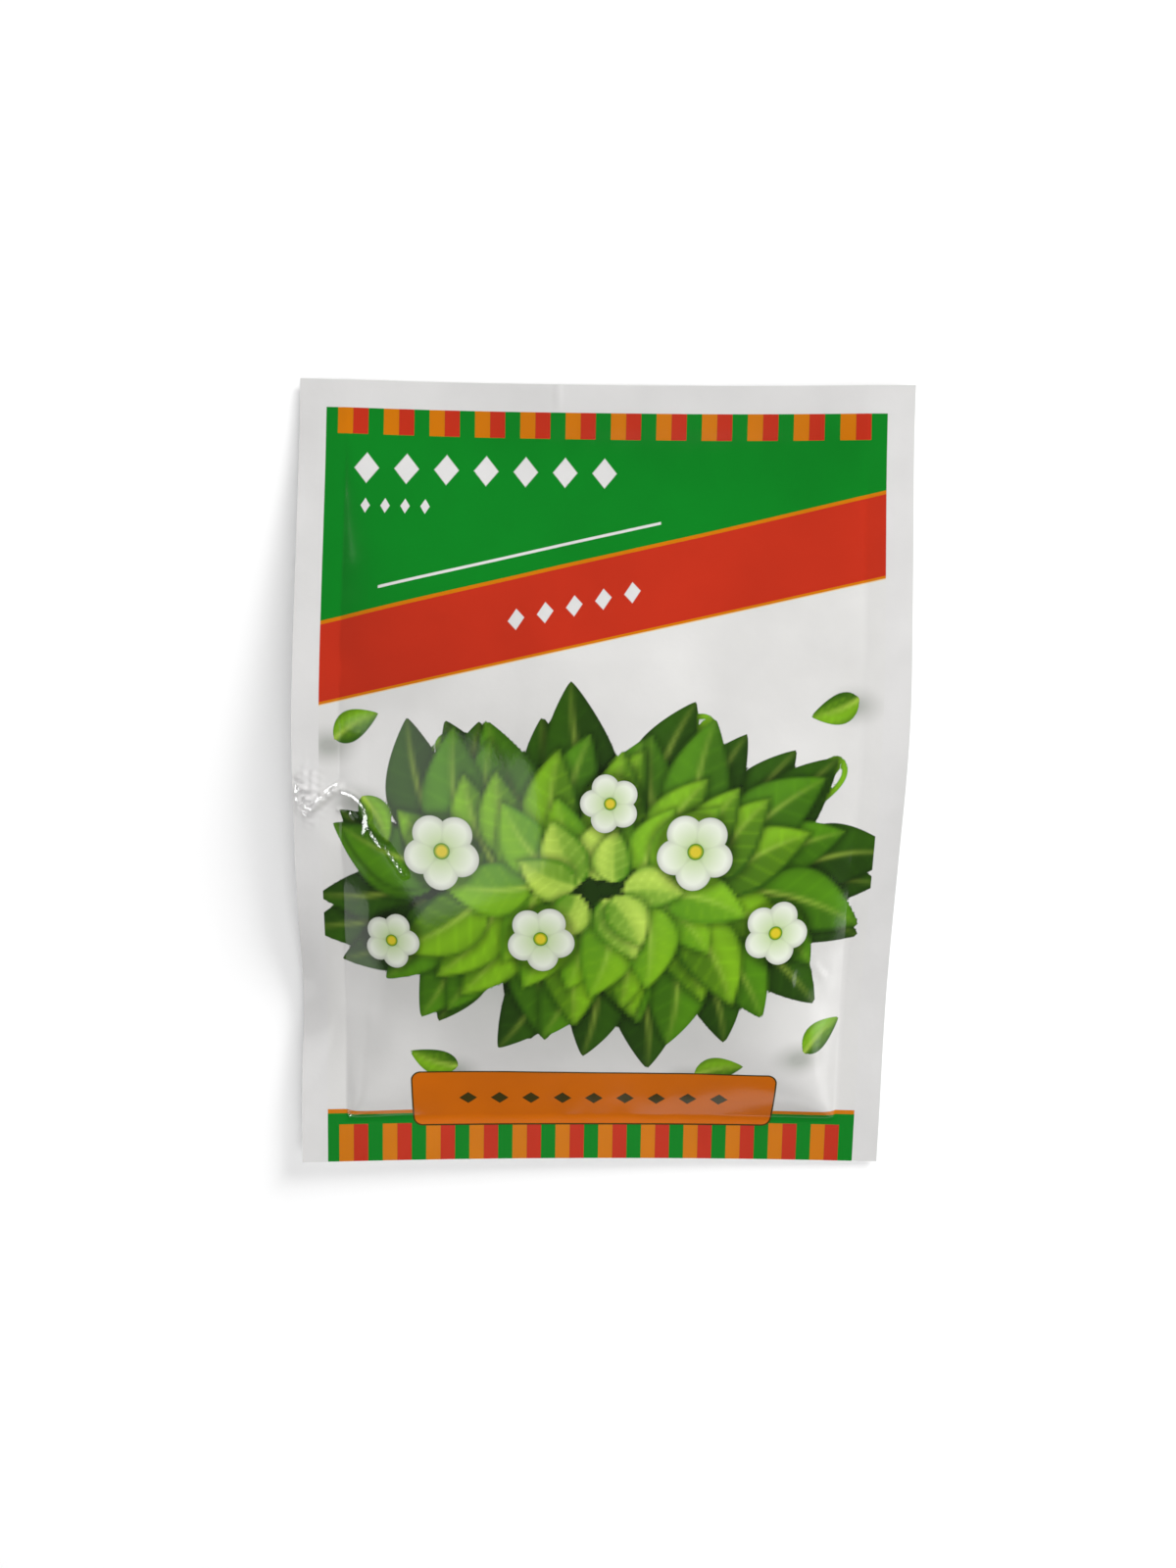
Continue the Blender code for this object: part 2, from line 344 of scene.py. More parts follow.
def front_height(s, t):
    draw = random.Random(RANDOM_SEED + 2)
    stack = 2 * FILM + BOND_GAP
    full = bonded_height(s, t) + stack + (THICKNESS - stack) * swell(s, t)
    return full + film_buckles(s, t, draw) + seal_puckers(s, t, draw)


front_columns = grid_lines(
    (-HALF_WIDTH, DENT_TO_S, CHAMBER_HALF_WIDTH, HALF_WIDTH), (DENT_CELL, PICTURE_CELL, PICTURE_CELL)
)
lower_stops = (-HALF_LENGTH, -CHAMBER_HALF_LENGTH, DENT_FROM_T, DENT_TO_T)
upper_stops = (PICTURE_TO_T, CHAMBER_HALF_LENGTH, HALF_LENGTH)
row_cells = (PLAIN_CELL, PICTURE_CELL, DENT_CELL, PICTURE_CELL, PLAIN_CELL, PLAIN_CELL)
front_rows = grid_lines(lower_stops + upper_stops, row_cells)
front_film, front_s, front_t = make_sheet("front_film", front_height, True, front_columns, front_rows)
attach(front_film, "root")
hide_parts("front_panel")
triangles = 4 * len(front_film.data.polygons)
print("front film:", len(front_film.data.vertices), "vertices,", triangles, "triangles with its thickness")

# %% [markdown]
# ## The back sheet
# Turned over, the packet shows where the peas press the film against the table. Between two peas the
# film arches up a little. The same staggered rows that hold the peas give those low spots.

# %% Lift the back sheet
BACK_CELL = 1.2
PEA_SPACING, PEA_ROW, ARCH_HEIGHT = 6.8, 7.0, 0.35
PATCH_T, PATCH_REACH, PATCH_FADE = -16.0, 37.0, 0.15
BACK_WAVE = 0.15


def arches_between_peas(s, t):
    row = np.rint((t - PATCH_T) / PEA_ROW)
    offset = (s / PEA_SPACING - 0.5 * (row % 2)) % 1
    sideways = np.minimum(offset, 1 - offset) * PEA_SPACING
    from_pea = np.hypot(sideways, t - PATCH_T - row * PEA_ROW)
    away = np.hypot(s, t - PATCH_T) / PATCH_REACH
    fade = np.clip(1 + PATCH_FADE - away, 0, PATCH_FADE) / PATCH_FADE
    return ARCH_HEIGHT * fade * np.clip(from_pea / (PEA_ROW / 2), 0, 1) ** 2


def back_height(s, t):
    draw = random.Random(RANDOM_SEED + 3)
    lift = np.clip(underside_height(s, t) / 2, 0, 1)
    waves = BACK_WAVE * ripple(s, t, 30, 7, draw) * lift * inside_bond(s, t)
    return np.maximum(0, bonded_height(s, t) + waves + arches_between_peas(s, t))


back_cells = (BACK_CELL, BACK_CELL, BACK_CELL)
back_columns = grid_lines((-HALF_WIDTH, -CHAMBER_HALF_WIDTH, CHAMBER_HALF_WIDTH, HALF_WIDTH), back_cells)
back_rows = grid_lines((-HALF_LENGTH, -CHAMBER_HALF_LENGTH, CHAMBER_HALF_LENGTH, HALF_LENGTH), back_cells)
back_film, _, _ = make_sheet("back_film", back_height, False, back_columns, back_rows)
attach(back_film, "root")
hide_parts("back_panel")
print("back film:", len(back_film.data.vertices), "vertices before its thickness")

# %% [markdown]
# ## Helpers for materials
# A printed stripe has an exact edge, so the print is worked out by the material for every point of the
# film, from its flat coordinates. A formula in a node tree takes one node for each sum, and these
# helpers let it be written in a line.

# %% Define helpers for colours and sums
PRINT_EDGE = 0.06
MIX_UNDER, MIX_OVER, MIX_RESULT = 6, 7, 2


def srgb(red, green, blue):
    """A colour as a picture editor names it, 0 to 255, as the shader's own linear light."""
    channels = [c / 255 for c in (red, green, blue)]
    return tuple(c / 12.92 if c <= 0.04045 else ((c + 0.055) / 1.055) ** 2.4 for c in channels)


def new_material(name):
    material = bpy.data.materials.new(name)
    material.use_nodes = True
    tree = material.node_tree
    return material, tree, tree.nodes["Principled BSDF"]


def feed(tree, socket, value):
    """Links a node's output, or sets a plain number or colour."""
    if isinstance(value, bpy.types.NodeSocket):
        tree.links.new(value, socket)
    elif isinstance(value, tuple):
        socket.default_value = (*value, 1.0)
    else:
        socket.default_value = value


def maths(tree, operation, *values):
    node = tree.nodes.new("ShaderNodeMath")
    node.operation = operation
    for socket, value in zip(node.inputs, values):
        feed(tree, socket, value)
    return node.outputs[0]


def above(tree, value, edge, soft=PRINT_EDGE):
    """1 where value is over edge, 0 where it is under, with a printed edge's slight softness."""
    node = tree.nodes.new("ShaderNodeMapRange")
    feed(tree, node.inputs["Value"], maths(tree, "SUBTRACT", value, edge))
    node.inputs["From Min"].default_value = -soft
    node.inputs["From Max"].default_value = soft
    return node.outputs["Result"]


def both(tree, *masks):
    """Where all the masks hold."""
    total = masks[0]
    for mask in masks[1:]:
        total = maths(tree, "MULTIPLY", total, mask)
    return total


def invert(tree, mask):
    return maths(tree, "SUBTRACT", 1.0, mask)


def between(tree, value, low, high):
    return both(tree, above(tree, value, low), invert(tree, above(tree, value, high)))


def blend(tree, mask, under, over):
    """Lays one colour over another. The Mix node's colour sockets are known only by their numbers."""
    node = tree.nodes.new("ShaderNodeMix")
    node.data_type = "RGBA"
    feed(tree, node.inputs["Factor"], mask)
    feed(tree, node.inputs[MIX_UNDER], under)
    feed(tree, node.inputs[MIX_OVER], over)
    return node.outputs[MIX_RESULT]


def scaled(tree, colour, factor):
    """A colour made lighter or darker."""
    node = tree.nodes.new("ShaderNodeVectorMath")
    node.operation = "SCALE"
    tree.links.new(colour, node.inputs[0])
    feed(tree, node.inputs["Scale"], factor)
    return node.outputs[0]


print("mid grey of a picture editor is %.2f in linear light" % srgb(128, 128, 128)[0])

# %% Define helpers for grain
NOISE_LOW, NOISE_HIGH = 0.3, 0.7


def noise(tree, scale, detail):
    """Even noise all through the piece. A scale of 1000 has features of about a millimetre."""
    place = tree.nodes.new("ShaderNodeTexCoord")
    node = tree.nodes.new("ShaderNodeTexNoise")
    tree.links.new(place.outputs["Object"], node.inputs["Vector"])
    node.inputs["Scale"].default_value = scale
    node.inputs["Detail"].default_value = detail
    return node.outputs["Fac"]


def spread(tree, value, low, high):
    """Turns a noise, most of which is between 0.3 and 0.7, into a value from low to high."""
    node = tree.nodes.new("ShaderNodeMapRange")
    feed(tree, node.inputs["Value"], value)
    node.inputs["From Min"].default_value = NOISE_LOW
    node.inputs["From Max"].default_value = NOISE_HIGH
    node.inputs["To Min"].default_value = low
    node.inputs["To Max"].default_value = high
    return node.outputs["Result"]


def bump(tree, height, distance, strength, under=None):
    """A shading normal for small roughness of that height in metres, on top of another one if given."""
    node = tree.nodes.new("ShaderNodeBump")
    feed(tree, node.inputs["Height"], height)
    node.inputs["Distance"].default_value = distance
    node.inputs["Strength"].default_value = strength
    if under is not None:
        tree.links.new(under, node.inputs["Normal"])
    return node.outputs["Normal"]


print("grain helpers take noise between", NOISE_LOW, "and", NOISE_HIGH)

# %% [markdown]
# ## The picture
# The lower two thirds of such a packet carry a picture. Here it is a bunch of leaves with white
# blossoms and curling tendrils, laid out in rings, the darkest behind and the brightest in front. It is
# painted in code onto the front sheet's own vertices. A leaf's outline would look soft at that spacing,
# so the sheet also keeps how far each vertex is inside the bunch, in millimetres, and the material cuts
# the outline where that distance is zero. The petals need a crisper edge still, so the material draws
# the blossoms, from each near vertex's own place in its blossom. Each ring is given by its number of
# leaves, how far its oval reaches, a leaf's length and width, and its darkest and lightest green.

# %% Mix the picture's colours
DEEP = srgb(28, 52, 10)
DARK = srgb(46, 84, 12)
MIDDLE = srgb(80, 134, 18)
BRIGHT = srgb(124, 176, 26)
PALE = srgb(186, 214, 84)
GROUND = srgb(208, 207, 205)
GROUND_SHADE = srgb(96, 104, 88)
PETAL = srgb(222, 226, 214)
PETAL_GREEN = srgb(160, 190, 104)
EYE_YELLOW = srgb(206, 186, 40)


def mixed(first, second, share):
    return np.array(first) * (1 - share[:, None]) + np.array(second) * share[:, None]


print("a leaf can be from", [round(c, 3) for c in DEEP], "to", [round(c, 3) for c in PALE])

# %% Set up the painter
FAR_OUTSIDE, NEARLY_OUTSIDE = -4.0, 0.3
LEAF_EDGE = 0.85
SHADE_REACH, SHADE_STRENGTH = 2.4, 0.6
NO_BLOSSOM = (0.0, 0.0, 1.0)


class Painting:
    """The picture's colours at the front sheet's vertices, and their depth inside the bunch."""

    def __init__(self, s, t):
        self.s, self.t = s, t
        self.ground = np.tile(GROUND, (len(s), 1))
        self.green = np.tile(DARK, (len(s), 1))
        self.depth = np.full(len(s), FAR_OUTSIDE)
        self.blossom = np.tile(NO_BLOSSOM, (len(s), 1))

    def shadow(self, centre, reach, strength):
        """A soft patch of shade on the ground."""
        away = np.hypot((self.s - centre[0]) / reach[0], (self.t - centre[1]) / reach[1])
        dark = (strength * np.clip(1.25 - away, 0, 1) ** 1.5)[:, None]
        self.ground = self.ground * (1 - dark) + np.array(GROUND_SHADE) * dark

    def shade_under(self, depth):
        """The shade that a shape casts on the leaves around it."""
        shade = (SHADE_STRENGTH * np.clip(1 + depth / SHADE_REACH, 0, 1) ** 2)[:, None]
        self.green = self.green * (1 - shade)

    def add(self, depth, colour):
        """Lays one shape over the others, with a little shade around it.

        Outside the bunch, a vertex takes the nearest shape's colour.
        """
        self.shade_under(depth)
        cover = np.clip(depth / LEAF_EDGE + 0.5, 0, 1)[:, None]
        nearer = ((self.depth < NEARLY_OUTSIDE) & (depth > self.depth))[:, None]
        self.green = np.where(nearer, colour, self.green * (1 - cover) + colour * cover)
        self.depth = np.maximum(self.depth, depth)


picture = Painting(front_s, front_t)
print("canvas of", len(front_s), "vertices")

# %% Paint a leaf
VEINS, VEIN_SLANT = 6, 1.1
RIB_WIDTH, RIB_STRENGTH = 0.55, 0.55


def paint_leaf(picture, base, angle, length, width, dark, light):
    """A pointed leaf: light on one side of its rib, darker on the other, with side veins."""
    turn = math.radians(angle)
    along = ((picture.s - base[0]) * math.cos(turn) + (picture.t - base[1]) * math.sin(turn)) / length
    side = -(picture.s - base[0]) * math.sin(turn) + (picture.t - base[1]) * math.cos(turn)
    side = side - 0.06 * length * np.sin(np.pi * np.clip(along, 0, 1))
    held = np.clip(along, 0, 1)
    half = width * np.sin(np.pi * held ** 0.72) ** 0.85
    depth = half - np.abs(side) - length * np.maximum(0, np.maximum(-along, along - 1))
    veins = np.clip(np.sin(math.tau * (held * VEINS - np.abs(side) / width * VEIN_SLANT)), 0, 1) ** 3
    share = 0.42 + 0.2 * np.tanh(side / 0.8) + 0.16 * veins * (depth > 0.6) + 0.3 * (held - 0.5)
    share += 0.22 * bell(side - 0.45 * width, 0.3 * width) - 0.3 * np.clip(1 - depth / 1.1, 0, 1)
    rib = bell(side, RIB_WIDTH) * np.clip(1.05 - held, 0, 1)
    colour = mixed(dark, light, np.clip(share, 0, 1))
    colour = colour * (1 - RIB_STRENGTH * rib[:, None]) + np.array(PALE) * RIB_STRENGTH * rib[:, None]
    picture.add(depth, colour)


print("a leaf has", 2 * VEINS, "side veins")

# %% Place a blossom and wind a tendril
BLOSSOM_REACH = 1.3
TENDRIL_STEPS, TENDRIL_HALF_WIDTH = 60, 0.62


def place_blossom(picture, centre, size, angle):
    """A blossom's shade, and each near vertex's own place in it. The material draws the petals."""
    turn = math.radians(angle)
    across, up = (picture.s - centre[0]) / size, (picture.t - centre[1]) / size
    reach = np.hypot(across, up)
    picture.shade_under(size * (1 - reach))
    turned = (across * math.cos(turn) + up * math.sin(turn), up * math.cos(turn) - across * math.sin(turn))
    own = np.stack([*turned, np.zeros_like(reach)], 1)
    picture.blossom = np.where((reach < BLOSSOM_REACH)[:, None], own, picture.blossom)


def paint_tendril(picture, start, angle, length, curl):
    """A thin stem that winds up tighter toward its end."""
    turn, place = math.radians(angle), list(start)
    nearest = np.full(len(picture.s), np.inf)
    for step in range(TENDRIL_STEPS):
        place[0] += length / TENDRIL_STEPS * math.cos(turn)
        place[1] += length / TENDRIL_STEPS * math.sin(turn)
        turn += curl * (step / TENDRIL_STEPS) ** 2
        nearest = np.minimum(nearest, np.hypot(picture.s - place[0], picture.t - place[1]))
    picture.add(TENDRIL_HALF_WIDTH - nearest, mixed(BRIGHT, MIDDLE, np.clip(nearest, 0, 1)))


print("a tendril is %.1f mm thick" % (2 * TENDRIL_HALF_WIDTH))

# %% Paint the bunch in rings, from the back to the front
BUNCH, BUNCH_REACH = (0.0, -20.0), (43, 21)
TENDRILS = (((-22, 2), 118, 26, 0.42), ((14, 6), 74, 24, -0.46), ((46, -2), 40, 20, 0.5))
RINGS = (
    (24, (38, 15), 25, 6.6, DEEP, DARK),
    (22, (33, 12), 23, 6.2, DARK, MIDDLE),
    (19, (24, 8), 21, 5.8, DARK, BRIGHT),
    (14, (14, 4), 18, 5.4, MIDDLE, BRIGHT),
    (8, (5, 2), 13, 4.6, MIDDLE, PALE),
)


def paint_ring(picture, draw, count, ring, length, width, dark, light):
    """Leaves that point outward from an oval, each a little out of line."""
    order = list(range(count))
    draw.shuffle(order)
    for number in order:
        turn = math.tau * (number + draw.uniform(-0.3, 0.3)) / count
        base = (BUNCH[0] + ring[0] * math.cos(turn), BUNCH[1] + ring[1] * math.sin(turn))
        outward = math.degrees(math.atan2(ring[0] * math.sin(turn), ring[1] * math.cos(turn)))
        grown = draw.uniform(0.85, 1.15)
        tilt = outward + draw.uniform(-24, 24)
        paint_leaf(picture, base, tilt, length * grown, width * grown, dark, light)


chance = random.Random(RANDOM_SEED)
picture.shadow((-1, -28), (50, 30), 0.75)
inside_bunch = 1 - np.hypot((front_s - BUNCH[0]) / BUNCH_REACH[0], (front_t - BUNCH[1]) / BUNCH_REACH[1])
picture.add(inside_bunch, np.tile(DEEP, (len(front_s), 1)))
for tendril in TENDRILS:
    paint_tendril(picture, *tendril)
for ring in RINGS:
    paint_ring(picture, chance, *ring)
print(sum(ring[0] for ring in RINGS), "leaves in", len(RINGS), "rings")

# %% Add the blossoms and a few loose leaves
BLOSSOMS = (((-33, -13), 8), ((-12, -31), 7), ((20, -12), 8), ((38, -30), 7), ((2, -2), 6), ((-44, -33), 6))
FIFTH_OF_TURN = 72
LOOSE_LEAVES = (
    ((-56, 10), 30), ((-50, -2), -60), ((-30, -62), 160), ((22, -64), 15), ((46, -58), 40), ((54, 20), 200)
)
LOOSE_LENGTH, LOOSE_WIDTH = 11, 3.2
for centre, size in BLOSSOMS:
    place_blossom(picture, centre, size, chance.uniform(0, FIFTH_OF_TURN))
for base, angle in LOOSE_LEAVES:
    picture.shadow((base[0] - 1, base[1] - 1.5), (6, 4), 0.5)
    paint_leaf(picture, base, angle, LOOSE_LENGTH, LOOSE_WIDTH, DARK, BRIGHT)
print(len(BLOSSOMS), "blossoms and", len(LOOSE_LEAVES), "loose leaves")

# %% Store the picture on the front sheet
for name, colours in (("picture_ground", picture.ground), ("picture_green", picture.green)):
    layer = front_film.data.attributes.new(name, "FLOAT_COLOR", "POINT")
    layer.data.foreach_set("color", np.hstack([colours, np.ones((len(colours), 1))]).ravel())
layer = front_film.data.attributes.new("picture_depth", "FLOAT", "POINT")
layer.data.foreach_set("value", picture.depth)
layer = front_film.data.attributes.new("blossom_place", "FLOAT_VECTOR", "POINT")
layer.data.foreach_set("vector", picture.blossom.ravel())
print("%.0f%% of the vertices are in the bunch or a leaf" % (100 * (picture.depth > 0).mean()))

# %% [markdown]
# ## The print
# The print leaves a white margin of nearly 6 mm at the sides and the head, and runs off the foot. It is a
# stack of plain fields: a row of orange and red blocks on green, a green field, a red band that climbs
# to the right between two thin orange lines, the picture, and another row of blocks. An orange plate
# lies over the lowest part. Small diamonds and a thin rule give the plain fields some fine detail.
# Each row of diamonds is given by its middle, its pitch, a diamond's half width and half height, and
# where the row starts and ends.

# %% Name the print's places and inks
MARGIN = 5.7
PRINT_HALF_WIDTH = HALF_WIDTH - MARGIN
PRINT_HEAD_T = 79.85
BLOCK_PITCH, BLOCK_WIDTH, FIRST_BLOCK_S, LAST_BLOCK_S = 9.665, 3.22, -56.8, 56.0
HEAD_BLOCKS_T, FOOT_LINE_T, FOOT_GREEN_T, FOOT_BLOCKS_T = 74.3, -73.5, -74.5, -77.1
BAND_TOP_T, BAND_TOP_CLIMB, BAND_FOOT_T, BAND_FOOT_CLIMB = 48.7, 0.2475, 30.85, 0.239
LINE_WIDTH, CREAM_WIDTH, KEYLINE_WIDTH = 0.8, 0.25, 0.35
PLATE_T, PLATE_HALF_WIDTH, PLATE_HALF_HEIGHT, PLATE_CORNER = -70.55, 40.4, 7.2, 2.2
WHITE_FILM = srgb(208, 207, 206)
GREEN_INK = srgb(4, 120, 28)
RED_INK = srgb(180, 44, 22)
ORANGE_INK = srgb(194, 110, 2)
PLATE_INK = srgb(196, 98, 0)
KEYLINE_INK = srgb(58, 50, 8)
CREAM_INK = srgb(212, 190, 150)
print("print is %.1f mm wide, with a block every %.2f mm" % (2 * PRINT_HALF_WIDTH, BLOCK_PITCH))

# %% Read the flat coordinates and what is stored on the sheet
def flat_coordinates(tree):
    """s and t in millimetres, from the sheet's UV map."""
    uv = tree.nodes.new("ShaderNodeUVMap")
    uv.uv_map = "OFBake"
    parts = tree.nodes.new("ShaderNodeSeparateXYZ")
    tree.links.new(uv.outputs["UV"], parts.inputs[0])
    s = maths(tree, "MULTIPLY", maths(tree, "SUBTRACT", parts.outputs["X"], 0.5), 2 * HALF_WIDTH)
    t = maths(tree, "MULTIPLY", maths(tree, "SUBTRACT", parts.outputs["Y"], 0.5), 2 * HALF_LENGTH)
    return s, t


def stored(tree, name, output):
    """What the sheet keeps at its vertices under that name."""
    node = tree.nodes.new("ShaderNodeAttribute")
    node.attribute_name = name
    return node.outputs[output]


def length_of(tree, first, second):
    squared = maths(tree, "ADD", maths(tree, "POWER", first, 2.0), maths(tree, "POWER", second, 2.0))
    return maths(tree, "SQRT", squared)


def sloped(tree, s, t, start, climb):
    """Height over a line that climbs to the right."""
    return maths(tree, "SUBTRACT", t, maths(tree, "ADD", maths(tree, "MULTIPLY", s, climb), start))


print("the sheet keeps", [name for name in front_film.data.attributes.keys() if name.startswith("picture")])

# %% Draw the blocks, the diamonds and the plate
BLOCK_SLACK = 0.01
LARGE_ROW = (67.0, 8.4, 2.6, 3.3, -54.6, 4.2)
SMALL_ROW = (58.9, 4.2, 1.0, 1.6, -52.5, -35.7)
BAND_ROW = (0.0, 6.0, 1.7, 2.2, -21.0, 9.0)
PLATE_ROW = (PLATE_T, 7.0, 2.0, 1.5, -31.5, 31.5)


def block_row(tree, s, colour, mask):
    """Pairs of an orange and a red block, side by side. The slack starts the first one a hair early."""
    phase = maths(tree, "WRAP", s, FIRST_BLOCK_S + BLOCK_PITCH, FIRST_BLOCK_S)
    inside = both(tree, mask, between(tree, s, FIRST_BLOCK_S - BLOCK_SLACK, LAST_BLOCK_S))
    red_from = FIRST_BLOCK_S + BLOCK_WIDTH
    orange = both(tree, inside, invert(tree, above(tree, phase, red_from)))
    red = both(tree, inside, between(tree, phase, red_from, red_from + BLOCK_WIDTH))
    return blend(tree, red, blend(tree, orange, colour, ORANGE_INK), RED_INK)


def diamonds(tree, s, t, middle, pitch, half_width, half_height, first_s, last_s):
    """A row of small diamonds about t = middle, one at every pitch from first_s to last_s."""
    offset = maths(tree, "ABSOLUTE", maths(tree, "WRAP", s, pitch / 2, -pitch / 2))
    across = maths(tree, "DIVIDE", offset, half_width)
    up = maths(tree, "DIVIDE", maths(tree, "ABSOLUTE", maths(tree, "SUBTRACT", t, middle)), half_height)
    endless = invert(tree, above(tree, maths(tree, "ADD", across, up), 1.0))
    return both(tree, endless, between(tree, s, first_s, last_s))


def rounded_plate(tree, s, t, inset):
    """Where the plate is, or what is left of it that far in from its edge."""
    reach_s, reach_t = PLATE_HALF_WIDTH - PLATE_CORNER, PLATE_HALF_HEIGHT - PLATE_CORNER
    over_s = maths(tree, "MAXIMUM", maths(tree, "SUBTRACT", maths(tree, "ABSOLUTE", s), reach_s), 0.0)
    from_middle = maths(tree, "ABSOLUTE", maths(tree, "SUBTRACT", t, PLATE_T))
    over_t = maths(tree, "MAXIMUM", maths(tree, "SUBTRACT", from_middle, reach_t), 0.0)
    return invert(tree, above(tree, length_of(tree, over_s, over_t), PLATE_CORNER - inset))


print("plate is %.1f by %.1f mm" % (2 * PLATE_HALF_WIDTH, 2 * PLATE_HALF_HEIGHT))

# %% Draw the blossoms
PETAL_PLACE, PETAL_RADIUS = 0.56, 0.47
EYE_RING_RADIUS, EYE_RADIUS = 0.22, 0.16
PETAL_EDGE, EYE_EDGE = 0.012, 0.04
PETAL_SHADE, GREEN_REACH = (-0.1, 0.28), 0.9
FAR_AWAY = 10.0


def blossoms(tree, colour):
    """Five round petals about a yellow eye. All lengths are shares of the blossom's size."""
    place = tree.nodes.new("ShaderNodeSeparateXYZ")
    tree.links.new(stored(tree, "blossom_place", "Vector"), place.inputs[0])
    across, up = place.outputs["X"], place.outputs["Y"]
    outside = maths(tree, "MULTIPLY", place.outputs["Z"], FAR_AWAY)
    reach = maths(tree, "ADD", length_of(tree, across, up), outside)
    fifth = math.tau / 5
    turn = maths(tree, "WRAP", maths(tree, "ARCTAN2", up, across), fifth / 2, -fifth / 2)
    outward = maths(tree, "MULTIPLY", reach, maths(tree, "COSINE", turn))
    aside = maths(tree, "MULTIPLY", reach, maths(tree, "SINE", turn))
    from_petal = length_of(tree, maths(tree, "SUBTRACT", outward, PETAL_PLACE), aside)
    inside = maths(tree, "SUBTRACT", PETAL_RADIUS, from_petal)
    toward_eye = maths(tree, "SUBTRACT", GREEN_REACH, reach)
    petal = blend(tree, maths(tree, "MAXIMUM", toward_eye, 0.0), PETAL, PETAL_GREEN)
    petal = scaled(tree, petal, above(tree, inside, *PETAL_SHADE))
    colour = blend(tree, above(tree, inside, 0.0, PETAL_EDGE), colour, petal)
    colour = blend(tree, invert(tree, above(tree, reach, EYE_RING_RADIUS, PETAL_EDGE)), colour, MIDDLE)
    return blend(tree, invert(tree, above(tree, reach, EYE_RADIUS, EYE_EDGE)), colour, EYE_YELLOW)


print("a petal reaches %.2f of the blossom's size" % (PETAL_PLACE + PETAL_RADIUS))

# %% Lay the inks over one another
OUTLINE_EDGE = 0.12
RULE_OVER_BAND, RULE_HALF_WIDTH, RULE_FROM_S, RULE_TO_S = 4.6, 0.3, -47.0, 12.0


def print_colour(tree, s, t):
    above_band = sloped(tree, s, t, BAND_TOP_T, BAND_TOP_CLIMB)
    above_picture = sloped(tree, s, t, BAND_FOOT_T, BAND_FOOT_CLIMB)
    leaves = above(tree, stored(tree, "picture_depth", "Fac"), 0.0, OUTLINE_EDGE)
    ground, green = stored(tree, "picture_ground", "Color"), stored(tree, "picture_green", "Color")
    colour = blossoms(tree, blend(tree, leaves, ground, green))
    colour = blend(tree, above(tree, above_picture, 0.0), colour, CREAM_INK)
    colour = blend(tree, above(tree, above_picture, CREAM_WIDTH), colour, ORANGE_INK)
    colour = blend(tree, above(tree, above_picture, LINE_WIDTH), colour, RED_INK)
    colour = blend(tree, above(tree, above_band, -LINE_WIDTH / 2), colour, ORANGE_INK)
    colour = blend(tree, above(tree, above_band, LINE_WIDTH / 2), colour, GREEN_INK)
    colour = blend(tree, invert(tree, above(tree, t, FOOT_LINE_T)), colour, ORANGE_INK)
    colour = blend(tree, invert(tree, above(tree, t, FOOT_GREEN_T)), colour, GREEN_INK)
    rows = maths(tree, "ADD", above(tree, t, HEAD_BLOCKS_T), invert(tree, above(tree, t, FOOT_BLOCKS_T)))
    colour = block_row(tree, s, colour, rows)
    colour = blend(tree, rounded_plate(tree, s, t, 0.0), colour, KEYLINE_INK)
    return blend(tree, rounded_plate(tree, s, t, KEYLINE_WIDTH), colour, PLATE_INK)


def ornaments(tree, s, t, colour):
    """White diamonds and a rule on the green and the red, and dark diamonds on the plate."""
    band_middle = sloped(tree, s, t, (BAND_TOP_T + BAND_FOOT_T) / 2, BAND_TOP_CLIMB)
    over_band = sloped(tree, s, t, BAND_TOP_T + RULE_OVER_BAND, BAND_TOP_CLIMB)
    rule = between(tree, over_band, -RULE_HALF_WIDTH, RULE_HALF_WIDTH)
    white = both(tree, rule, between(tree, s, RULE_FROM_S, RULE_TO_S))
    for height, row in ((t, LARGE_ROW), (t, SMALL_ROW), (band_middle, BAND_ROW)):
        white = maths(tree, "MAXIMUM", white, diamonds(tree, s, height, *row))
    colour = blend(tree, white, colour, WHITE_FILM)
    return blend(tree, diamonds(tree, s, t, *PLATE_ROW), colour, KEYLINE_INK)


print("a rule %.1f mm wide lies over the band" % (2 * RULE_HALF_WIDTH))

# %% Give the front film its print and its gloss
GLOSS_ROUGHNESS = 0.12
PRINT_GLOSS, BACK_GLOSS = 1.0, 0.9
FILM_ROUGHNESS = (0.3, 0.5)


def film_grain(tree):
    """Film is never quite even: soft waves of several millimetres, with a grain of about one on them."""
    fine = bump(tree, noise(tree, 900, 2), 0.00003, 0.6)
    return bump(tree, noise(tree, 170, 2), 0.0002, 0.5, fine)


def make_printed_film():
    material, tree, shader = new_material("printed_film_look")
    s, t = flat_coordinates(tree)
    colour = ornaments(tree, s, t, print_colour(tree, s, t))
    on_sides = invert(tree, above(tree, maths(tree, "ABSOLUTE", s), PRINT_HALF_WIDTH))
    inked = both(tree, on_sides, invert(tree, above(tree, t, PRINT_HEAD_T)))
    colour = blend(tree, inked, WHITE_FILM, colour)
    cloud = spread(tree, noise(tree, 55, 3), 0.95, 1.04)
    tree.links.new(scaled(tree, colour, cloud), shader.inputs["Base Color"])
    tree.links.new(spread(tree, noise(tree, 240, 3), *FILM_ROUGHNESS), shader.inputs["Roughness"])
    shader.inputs["Specular IOR Level"].default_value = 0.0
    shader.inputs["Coat Weight"].default_value = PRINT_GLOSS
    shader.inputs["Coat Roughness"].default_value = GLOSS_ROUGHNESS
    tree.links.new(film_grain(tree), shader.inputs["Normal"])
    tree.links.new(bump(tree, noise(tree, 1400, 1), 0.00002, 0.6), shader.inputs["Coat Normal"])
    return material


